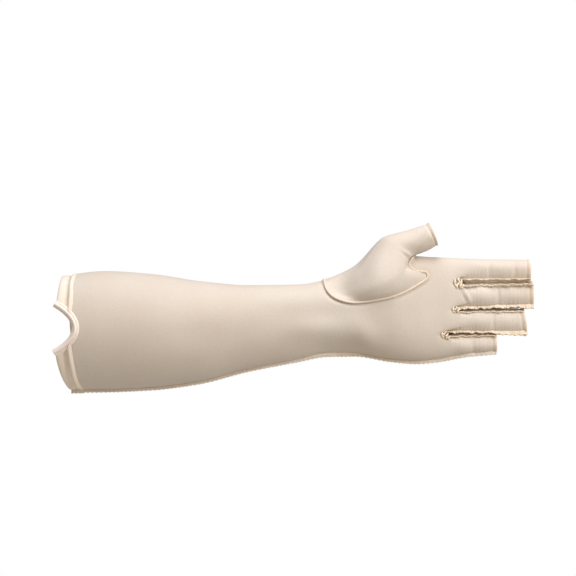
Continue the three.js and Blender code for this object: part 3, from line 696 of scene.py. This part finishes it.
across, height = smooth_profile(HEM_PROFILE, HEM_ROWS)
angle = np.linspace(0, 2 * np.pi, HEM_COLUMNS)[None, :]
lowered = lerp(SIDE_HEIGHT, 1, smoothstep(np.abs(np.sin(angle)), 0, SIDE_REACH))
height, angle = np.broadcast_arrays(height * np.where(height > 0, lowered, 1), angle)
side = np.where(angle <= np.pi, -1, 1)
x = elbow_station(angle, side) + across * hem_spread(angle, side)
points = sleeve_point(x, angle, height)
flat = points.copy()
beside_notch = (angle <= np.pi) & (np.abs(angle - np.pi / 2) < NOTCH_ANGLE)
cut = trim(flat, -1, *notch_outline(HEM_MARGIN)) & beside_notch
flat[..., 1] -= height
points = np.where(cut[..., None], flat, points)
quads = grid_quads(*cut.shape)
elbow_hem = cloth_piece(
    "elbow_hem_band", points, quads[~cut.ravel()[quads].all(1)], flat_map(angle * HEM_RADIUS, across),
)
# Two layers of the knit, turned in. Its colour is painted paler than the panel's: a painted highlight for the
# light that the proud band and its ridge catch.
elbow_hem.data.materials.append(knit("turned_hem_knit", "#e8dccf", "#e1d2c2"))
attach(elbow_hem, "root")
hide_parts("elbow_hem")


# Notch binding: a strip of the knit folded over the notch's edge, a full roll with a narrow sewn ridge beside
# it. It runs past the rim at both tips, where the fold's hollow end shows.

# Profile of the fold: margin from the notch's edge and height off the cloth.
BINDING_PROFILE = np.array([
    (6.0, -0.3), (5.6, 0.4), (5.0, 1.1), (4.6, 1.2), (4.25, 0.9), (3.95, 1.0), (3.5, 1.9), (2.9, 2.3),
    (2.2, 2.1), (1.4, 1.5), (0.6, 0.7), (0, -0.1), (-0.2, -0.8), (0.2, -1.6), (1.4, -2.0), (3.4, -1.8),
])
BINDING_ROWS, BINDING_COLUMNS, BINDING_PAST = 56, 120, 0.015
BINDING_CLOTH, BINDING_LONG = 0.6, 60
margin, height = smooth_profile(BINDING_PROFILE, BINDING_ROWS)
share = np.linspace(-BINDING_PAST, 1 + BINDING_PAST, BINDING_COLUMNS)[None, :]
x, z = notch_point(share, margin)
binding = cloth_piece(
    "notch_binding_fold", np.stack([x, -sleeve_depth(x, z, -1) - height, z], -1),
    grid_quads(BINDING_ROWS, BINDING_COLUMNS), flat_map(margin, share * BINDING_LONG),
)
thicken(binding, BINDING_CLOTH)
# The knit folded without stretch, with its loops closest. It is painted the palest of the glove's cloths: a
# painted highlight that brightens its roll, above all along the lower arm, as if lit from above.
binding.data.materials.append(knit("folded_binding_knit", "#f4e9e1", "#efe1d6"))
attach(binding, "root")
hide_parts("notch_binding")


# Stall hems: the open end of each finger stall and of the thumb stall, turned in and sewn.
# A flat band ends in a thin peach lip, with a crease where the turned cloth stops inside.

# Profile of the band: distance back from the end and height off the cloth. The lip's paler, warmer colour,
# partly a painted highlight, comes in between two distances, and goes out between two heights inside.
STALL_HEM = np.array([
    (6.4, -0.5), (5.8, -0.2), (5.0, -0.1), (4.2, -0.25), (3.4, -0.3), (2.5, 0.0), (1.8, 0.35), (1.45, 0.4),
    (1.2, 0.55), (0.8, 0.7), (0.35, 0.6), (0.05, 0.25), (0, -0.3), (0.3, -1.0), (1.2, -1.5), (3.6, -1.6),
    (6.0, -1.3), (6.4, -0.5),
])
STALL_HEM_ROWS, STALL_HEM_COLUMNS, STALL_RADIUS = 52, 97, 8
LIP_BACK, LIP_INSIDE = (1.7, 1.2), (-1.2, -0.6)
back_from, height = smooth_profile(STALL_HEM, STALL_HEM_ROWS)
lip = smoothstep(-back_from, -LIP_BACK[0], -LIP_BACK[1]) * smoothstep(height, *LIP_INSIDE)
lip = np.broadcast_to(lip, (STALL_HEM_ROWS, STALL_HEM_COLUMNS))
turn = np.linspace(0, 2 * np.pi, STALL_HEM_COLUMNS)[None, :]
# The panel's knit again, a shade paler on the band, and paler and warmer along the turned lip: partly the
# lip's warmer yarn, partly a painted highlight for the light that the lip catches.
lip_knit = knit("lipped_hem_knit", "#d6cabd", "#d0c2b2", edge="#e2d0ba")


def stall_hem(name, points, across):
    """Hem of one stall from its ring of profiles, with the lip's colour along its rim."""
    hem = cloth_piece(
        name + "_hem_band", points, grid_quads(STALL_HEM_ROWS, STALL_HEM_COLUMNS),
        flat_map(across, back_from), lip,
    )
    hem.data.materials.append(lip_knit)
    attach(hem, "root")
    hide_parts(name + "_hem")


for finger, stall in enumerate(STALLS):
    palm, back = (
        panel_point(finger, side, stall_end(finger, phi) - back_from, phi, height)
        for side, phi in ((-1, np.minimum(turn, np.pi)), (1, np.minimum(2 * np.pi - turn, np.pi)))
    )
    stall_hem(stall["name"], np.where((turn <= np.pi)[..., None], palm, back), turn * STALL_RADIUS)

# The thumb's hem follows the gusset's skin near its end, with a share of its length to each millimetre.
THUMB_FROM, THUMB_ROWS, THUMB_SHARE, THUMB_HEIGHT, THUMB_ROUND = 0.85, 60, 0.0115, 0.9, 55
knots, v = np.linspace(THUMB_FROM, 1, THUMB_ROWS), np.linspace(0, 1, STALL_HEM_COLUMNS)
skin = gusset_skin(knots, v)
out = np.cross(np.gradient(skin, axis=1), np.gradient(skin, axis=0))
out /= np.linalg.norm(out, axis=-1, keepdims=True)
at = 1 - THUMB_SHARE * back_from[:, 0]
points = curve_through(knots, skin, at) + THUMB_HEIGHT * height[..., None] * curve_through(knots, out, at)
stall_hem("thumb", points, v * THUMB_ROUND)


# Finger seams: the stalls' raw edges trimmed and bound together with looped thread, left outside.
# Each stands up as a soft flange that ruffles along its free edge, and bunches in gathers round a fork.

# Section of a flange: share of its width and of its thickness.
FLANGE = np.array([
    (-0.45, 0.5), (0.2, 0.5), (0.5, 0.48), (0.75, 0.45), (0.92, 0.36), (1.0, 0.16),
    (1.0, -0.16), (0.92, -0.36), (0.75, -0.45), (0.5, -0.48), (0.2, -0.5), (-0.45, -0.5), (-0.45, 0.5),
])
FLANGE_ROUND, RUFFLE_POWER = 5, 1.2

# A seam's path lies just off the cloth, from just past the fork to a little short of the stall's end.
PATH_POINTS, SEAM_STEP, PAST_FORK, SHORT_OF_END, OFF_CLOTH = 1601, 0.4, 0.02, 0.2, 0.1

# One stitch of the overlock: share of its pitch, share of the flange's width, and the face that it lies on.
STITCH = np.array([
    (0.00, 0.08, 1), (0.28, 0.9, 1), (0.36, 1.08, 0), (0.44, 0.9, -1),
    (0.62, 0.1, -1), (0.80, 0.9, -1), (0.88, 1.08, 0), (0.96, 0.9, 1),
])
STITCH_PITCH, THREAD_RADIUS, THREAD_OFF = 1.9, 0.13, 0.08

# Flanges of the forks: tilt towards the palm, width and share of the ruffle of the upper and the lower side;
# how the upper side's end spreads, from and to a station, by a tilt back and a width; and how much wider the
# lower side grows towards its end.
FLANGES = {
    "index_middle": dict(upper=(1.42, 1.5, 0.45), lower=(1.0, 2.4, 0.8), end=(362, 377, 0, 0), grow=1),
    "middle_ring": dict(upper=(0.75, 2.8, 0.8), lower=(1.3, 1.6, 0.5), end=(362, 377, 0.2, 1.2), grow=0),
    "ring_little": dict(upper=(0.95, 2.3, 0.8), lower=(1.2, 2.0, 0.6), end=(346, 353, 0.5, 0.9), grow=0),
}
FLANGE_THICK, WIDTH_SHARE, WIDTH_WAVE, GROW_LENGTH = 0.9, 0.16, 4.9, 66

# Round the fork one side turns into the other, and the gathering adds to the ruffle and to the width.
FORK_TURN, GATHER_REACH, GATHER_RUFFLE, GATHER_WIDTH = 4, 5, 0.2, 0.6

# Ruffle of a flange: height, length, sway, length of the sway, and the fork's phase in the sway and the wave.
RUFFLES = np.array([
    (0.75, 12.5, 1.5, 9, 1, 0),
    (0.45, 6.1, 1.2, 5, 0, 2),
    (0.28, 2.8, 2, 4, 0, 0),
])

# Gathers at each fork: offset ahead of and beside it, half length, radius, slant and bow of each pucker.
GATHERS = [
    np.array([
        (0, 0.2, 3.6, 0.9, -0.25, 1.4), (1.8, -1.6, 3.0, 1.0, 0.35, 0.8), (3.0, 2.0, 2.6, 0.9, -0.3, 0.9),
        (4.6, -0.8, 3.4, 1.05, 0.2, 0.5), (6.0, -2.6, 2.0, 0.8, 0.5, 0.2),
    ]),
    np.array([(0, 0, 2.6, 0.8, -0.2, 1.2), (2.2, 0.8, 1.8, 0.75, 0.4, 0.5), (4.0, -0.9, 1.7, 0.7, 0.3, 0.4)]),
    np.array([
        (0, -0.6, 2.6, 0.85, -0.2, 1.2), (2.0, 0.5, 2.0, 0.8, 0.5, 0.5), (3.6, -1.6, 2.3, 0.85, 0.3, 0.4),
        (5.4, -2.8, 1.5, 0.7, 0.6, 0.2),
    ]),
]
GATHER_STEPS, GATHER_SIDES = 25, 10

# They start behind the fork, lie off the cloth with a crown, and taper to their ends. Their sway, rise and
# lumps are sines: height, then the phase that a half length, a millimetre ahead and each further fork add.
GATHER_BEHIND, GATHER_OFF, GATHER_CROWN, GATHER_TAPER = 0.4, 2.6, 0.8, 0.85
GATHER_SWAY, GATHER_RISE, GATHER_LUMPS = (0.25, 5, 3, 0), (0.4, 0, 2, 1), (0.14, 7, 2, 0)


def even_path(points, step):
    """Points at an even step along a path, and the distance of each from its start."""
    distance = np.concatenate([[0], np.cumsum(np.linalg.norm(np.diff(points, axis=0), axis=1))])
    at = np.linspace(0, distance[-1], int(distance[-1] / step))
    return np.stack([np.interp(at, distance, axis) for axis in points.T], -1), at


def from_ends(number):
    """Steps of each place in a row from the nearer end."""
    return np.minimum(np.arange(number), np.arange(number)[::-1])


def flange_normal(path, away):
    """Direction off a flange's face, square to its path and to the way it stands."""
    normal = np.cross(np.gradient(path, axis=0), away)
    return normal / np.linalg.norm(normal, axis=1, keepdims=True)


def flange_point(path, away, width, ruffle, across, off):
    """Point of a flange: from its path, across by a share of its width, and off it by the ruffle times a
    power of that share."""
    rise = ruffle[:, None] * np.clip(across, 0, None) ** RUFFLE_POWER + off
    reach = away[:, None] * (across * width[:, None])[..., None]
    return path[:, None] + reach + flange_normal(path, away)[:, None] * rise[..., None]


def thread(name, lines, off, radius, sides=6, step=0.3):
    """Round threads along lines: at each point a ring across the line, drawn together at both ends. The step
    places the yarn's pattern."""
    steps = lines.shape[1]
    ahead = np.gradient(lines, axis=1)
    ahead /= np.linalg.norm(ahead, axis=2, keepdims=True)
    across = np.cross(ahead, off)
    across /= np.linalg.norm(across, axis=2, keepdims=True)
    up = np.cross(across, ahead)
    turn = np.linspace(0, 2 * np.pi, sides, endpoint=False)[:, None]
    radius = (np.clip(from_ends(steps), 0, 1) * radius)[..., None, None]
    ring = np.cos(turn) * across[:, :, None] + np.sin(turn) * up[:, :, None]
    points = lines[:, :, None] + radius * ring
    quads = grid_quads(steps, sides, closed=True) + np.arange(len(lines))[:, None, None] * steps * sides
    uv = flat_map(turn[:, 0], np.arange(steps)[:, None] * step)
    return cloth_piece(name, points, quads.reshape(-1, 4), np.broadcast_to(uv, (*points.shape[:3], 2)))


def tilted(x, z, tilt):
    """Direction along (x, z) in the palm's plane, tilted towards the palm by an angle."""
    length = np.hypot(x, z)
    return np.stack([x / length * np.cos(tilt), -np.sin(tilt), z / length * np.cos(tilt)], -1)


def overlock(path, away, width, ruffle, thick):
    """Line of the looped thread: in each pitch it crosses one face to the free edge, passes round it, goes
    back to the base on the other face, and returns."""
    number = int(len(path) * SEAM_STEP / STITCH_PITCH)
    at = ((np.arange(number)[:, None] + STITCH[:, 0]) * STITCH_PITCH / SEAM_STEP).ravel()
    at = np.clip(at, 0, len(path) - 1.001)
    edges = flange_point(path, away, width, ruffle, np.array([[0.0, 1.0]]), np.zeros((1, 2)))
    index, rest = at.astype(int), (at % 1)[:, None, None]
    base, free = lerp(edges[index], edges[index + 1], rest).transpose(1, 0, 2)
    across, face = np.tile(STITCH[:, 1:], (number, 1)).T[:, :, None]
    off = flange_normal(path, away)[index] * face * (0.5 * thick + THREAD_OFF)
    return base + (free - base) * across + off, away[index]


def overlocked_seam(node, path, away, width, ruffle, thick, cloth, yarn):
    """Flange of one seam, its section carried along the path and thinned at both ends, with its thread."""
    thinned = thick * np.sqrt(np.clip(from_ends(len(path))[:, None] / 2, 0, 1))
    points = flange_point(path, away, width, ruffle, FLANGE[:, 0][None], FLANGE[:, 1][None] * thinned)
    round_flange = np.linspace(0, 1, len(FLANGE)) * FLANGE_ROUND
    seam = cloth_piece(
        node + "_flange", points, grid_quads(*points.shape[:2]),
        flat_map(round_flange, np.arange(len(path))[:, None] * SEAM_STEP),
    )
    seam.data.materials.append(cloth)
    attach(seam, "root")
    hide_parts(node)
    line, off = overlock(path, away, width, ruffle, thick)
    loops = thread(node + "_thread", line[None], off[None], THREAD_RADIUS)
    loops.data.materials.append(yarn)
    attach(loops, "root")


def ruffle_wave(distance, fork):
    """Ruffle along a flange: a sum of swayed sines, with phases that differ from fork to fork."""
    height, length, sway, sway_length, sway_phase, phase = RUFFLES.T[:, :, None]
    return (height * swayed_sine(distance, length, sway, sway_length, phase * fork, sway_phase * fork)).sum(0)


def gather_lines(fork, depth):
    """Lines of a fork's gathers and their radii: each is a slanted and swayed parabola across the fork,
    crowned towards the palm, and its radius falls to the ends as an ellipse's does, with lumps along it."""
    t = np.linspace(-1, 1, GATHER_STEPS)[None, :]
    ahead, beside, half, thick, slant, bow = GATHERS[fork].T[:, :, None]
    sway, rise, lumps = (
        height * np.sin(by_half * t + by_ahead * ahead + by_fork * fork)
        for height, by_half, by_ahead, by_fork in (GATHER_SWAY, GATHER_RISE, GATHER_LUMPS)
    )
    fork_x, fork_z, _ = FORKS[fork]
    x = fork_x - GATHER_BEHIND + ahead + bow * t * t + slant * half * t + sway
    y = depth - GATHER_OFF - GATHER_CROWN * (1 - t * t) - rise
    swell = np.sqrt(1 - GATHER_TAPER * t * t) * (1 + lumps)
    return np.stack([x, y, fork_z + beside + half * t], -1), thick * swell


# Raw edges of the knit bunch up their loops, so they look rougher and warmer, and they are painted paler than
# the panel: a painted highlight for the light that the standing flanges catch. The thread that binds them is
# spun polyester, matt and tan, painted pale as well: painted light that lifts the seams out of their shade.
seam_knit = knit("overlocked_knit_edge", "#ecdcc8", "#e2cfb8", bump=0.25)
seam_thread = knit("tan_overlock_thread", "#eedcc2", "#e2ccac", bump=0.1)

# The way goes from -1 at the end of the upper side over 0 at the fork to 1 at the end of the lower side.
way = np.linspace(-1, 1, PATH_POINTS)
for fork, (name, flange) in enumerate(FLANGES.items()):
    halves = []
    for finger, lower in ((fork, 1), (fork + 1, 0)):
        x = lerp(FORKS[fork][0] + PAST_FORK, STALLS[finger]["end"][lower] - SHORT_OF_END, way * way)
        halves.append(panel_point(finger, -1, x, np.full_like(x, lower * np.pi), OFF_CLOTH))
    path, distance = even_path(np.where((way < 0)[:, None], *halves), SEAM_STEP)
    middle = np.argmin(path[:, 0])
    past = distance - distance[middle]
    gather = np.exp(-((past / GATHER_REACH) ** 2))
    turned = smoothstep(past, -FORK_TURN, FORK_TURN)[:, None]
    tilt, wide, frill = lerp(np.array(flange["upper"]), np.array(flange["lower"]), turned).T
    start, stop, tilt_back, wider = flange["end"]
    spread = smoothstep(path[:, 0], start, stop) * (past < 0)
    along = np.gradient(path, axis=0)
    away = tilted(-along[:, 2], along[:, 0], tilt - tilt_back * spread)
    ruffle = ruffle_wave(distance, fork) * (frill + GATHER_RUFFLE * gather)
    change = WIDTH_SHARE * np.sin(2 * np.pi * distance / WIDTH_WAVE + fork)
    width = wide * (1 + change) + GATHER_WIDTH * gather
    width += wider * spread + flange["grow"] * np.clip(past / GROW_LENGTH, 0, 1)
    overlocked_seam(name + "_seam", path, away, width, ruffle, FLANGE_THICK, seam_knit, seam_thread)

    lines, radius = gather_lines(fork, path[middle, 1])
    rolls = thread(name + "_gathers", lines, np.array([0.0, -1, 0]), radius, GATHER_SIDES)
    rolls.data.materials.append(seam_knit)
    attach(rolls, "root")


# Little-finger seam: the panel's two long edges overlocked together, from the elbow to the end of the little
# finger's stall. It lies over towards the palm and shows below the outline as a narrow, even frill.

# It starts on the hem's band, which lifts it, and runs at a share of the way across the outer strip.
HEM_END, HEM_LIFT, ULNAR_SHARE, ULNAR_TILT, ULNAR_POINTS = 11, 0.5, 0.88, 0.2, 1200
ULNAR_WIDTH, ULNAR_THICK = 2.4, 1.0

# Its ruffle in millimetres and the change of its width as a share: length, sway and length of the sway.
ULNAR_RUFFLE, RUFFLE_SINE = 0.22, (4.1, 1.5, 11)
ULNAR_CHANGE, CHANGE_SINE = 0.1, (3.3, 1, 7)

hem_end = elbow_station(np.pi, -1) + HEM_END
x = np.linspace(hem_end - PANEL_START, STALLS[3]["end"][1] - SHORT_OF_END, ULNAR_POINTS)
lift = OFF_CLOTH + HEM_LIFT * smoothstep(-x, -hem_end, 1 - hem_end)
path, distance = even_path(panel_point(3, -1, x, np.full_like(x, ULNAR_SHARE * np.pi), lift), SEAM_STEP)
away = tilted(np.zeros_like(distance), np.full_like(distance, -1), np.full_like(distance, ULNAR_TILT))
ruffle = ULNAR_RUFFLE * swayed_sine(distance, *RUFFLE_SINE)
width = ULNAR_WIDTH * (1 + ULNAR_CHANGE * swayed_sine(distance, *CHANGE_SINE))
# The same cloth and thread in one beige, less bunched than at the forks, so they look flatter. Both are
# painted
# paler than the panel: painted light that lifts the seam out of the shade under the sleeve.
plain_knit = knit("beige_knit_edge", "#eadfd2", "#e2d5c5")
plain_thread = knit("beige_overlock_thread", "#f0e4d6", "#e8d9c7", bump=0.1)
overlocked_seam("ulnar_seam", path, away, width, ruffle, ULNAR_THICK, plain_knit, plain_thread)


# Studio: a matt white floor well below the part, and a white surround that lights it weakly and warmly.
# A large soft light hangs overhead, one stands in front to the right, a warm one fills the front, and a small
# one lights the elbow hem.
FLOOR = [(-1.6, -1.6, -0.62), (2, -1.6, -0.62), (2, 1.5, -0.62), (-1.6, 1.5, -0.62)]
floor_mesh = bpy.data.meshes.new("studio_floor")
floor_mesh.from_pydata(FLOOR, [], [(0, 1, 2, 3)])
floor = bpy.data.objects.new("studio_floor", floor_mesh)
bpy.context.scene.collection.objects.link(floor)
# Matt emulsion paint gives an even white without gloss.
paint = bpy.data.materials.new("matt_white_paint")
paint.use_nodes = True
paint.node_tree.nodes["Principled BSDF"].inputs["Base Color"].default_value = linear("#eceae6")
paint.node_tree.nodes["Principled BSDF"].inputs["Roughness"].default_value = 0.8
floor_mesh.materials.append(paint)

world = bpy.data.worlds.new("studio_surround")
bpy.context.scene.world = world
world.use_nodes = True
tree = world.node_tree
tree.nodes.clear()
seen = add(tree, "ShaderNodeLightPath").outputs["Is Camera Ray"]
lit = add(tree, "ShaderNodeBackground", {"Color": linear("#ffedd0"), "Strength": 0.24})
shown = add(tree, "ShaderNodeBackground", {"Color": linear("#ffffff"), "Strength": 1.0})
both = add(tree, "ShaderNodeMixShader", {0: seen, 1: lit.outputs[0], 2: shown.outputs[0]})
add(tree, "ShaderNodeOutputWorld", {0: both.outputs[0]})


def area_light(name, place, target, size, power, colour):
    """Square soft light, tilted from straight down and turned about the upright so that it faces a target.
    Its size and places are in metres and its power in watts."""
    lamp = bpy.data.lights.new(name, "AREA")
    lamp.size, lamp.energy, lamp.color = size, power, linear(colour)[:3]
    light = bpy.data.objects.new(name, lamp)
    light.location = place
    aim = np.array(target) - np.array(place)
    level = float(np.hypot(aim[0], aim[1]))
    light.rotation_euler = (float(np.arctan2(level, -aim[2])), 0.0, float(np.arctan2(-aim[0], aim[1])))
    bpy.context.scene.collection.objects.link(light)


area_light("overhead_light", (0.12, -0.28, 0.95), (0.15, 0, 0), 0.7, 9.0, "#f7f9ff")
area_light("key_light", (0.8, -0.62, 0.45), (0.3, 0, 0.02), 0.5, 6.6, "#ffffff")
area_light("fill_light", (0.45, -1.3, 0.05), (0.2, 0, 0), 0.9, 1.6, "#ffe8cc")
area_light("cuff_light", (-0.2, -0.25, -0.02), (0, -0.03, -0.01), 0.15, 0.09, "#ffffff")

# Camera square to the palm: its distance and the width that it takes in, both in metres, set its lens.
CAMERA_X, CAMERA_Z, CAMERA_DISTANCE, PICTURE_WIDTH, SENSOR = 0.1824, 0.0352, 1.2, 0.4608, 36
camera = bpy.data.objects.new("camera", bpy.data.cameras.new("camera"))
camera.data.sensor_fit = "HORIZONTAL"
camera.data.sensor_width = SENSOR
camera.data.lens = SENSOR * CAMERA_DISTANCE / PICTURE_WIDTH
camera.location = (CAMERA_X, -CAMERA_DISTANCE, CAMERA_Z)
camera.rotation_euler = (np.pi / 2, 0, 0)
bpy.context.scene.collection.objects.link(camera)
bpy.context.scene.camera = camera
bpy.context.scene.view_settings.view_transform = "Standard"
